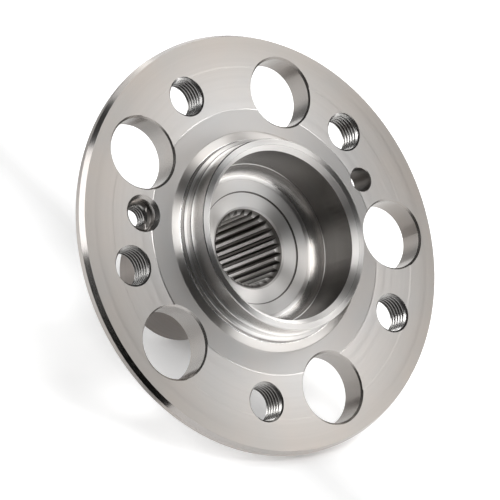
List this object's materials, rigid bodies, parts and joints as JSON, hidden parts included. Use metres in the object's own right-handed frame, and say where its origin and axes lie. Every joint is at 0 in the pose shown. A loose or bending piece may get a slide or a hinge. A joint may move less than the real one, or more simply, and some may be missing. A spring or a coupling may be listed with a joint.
{
  "type": "wheel hub",
  "caption": "Splined driven wheel hub: a drilled bolting flange with stepped disc and wheel pilots round a nut cup, on a barrel and a bearing journal with a splined bore",
  "frame": {"origin": "on the hub's axis in the plane of the bolting face, the face zone between the two raised seating bands", "axes": "+Z is the hub axis, out through the nose towards the wheel; +Y points at the first access hole; angles are given clockwise from +Y seen from the nose"},
  "size_m": [0.1466, 0.1466, 0.0707],
  "materials": {
    "faced_steel": "finely faced with concentric turning marks, lightly oiled",
    "ground_steel": "fine turned pilots with a bright sheen",
    "turned_steel": "turned, with coarser marks in the cup and on the barrel",
    "broached_steel": "broached splines with bright crests, ground journal outside"
  },
  "bodies": {
    "root": {"wheel_pilot": "ground_steel", "disc_pilot": "ground_steel", "wheel_flange": "faced_steel", "hub_barrel": "turned_steel", "splined_spindle": "broached_steel"}
  },
  "joints": []
}
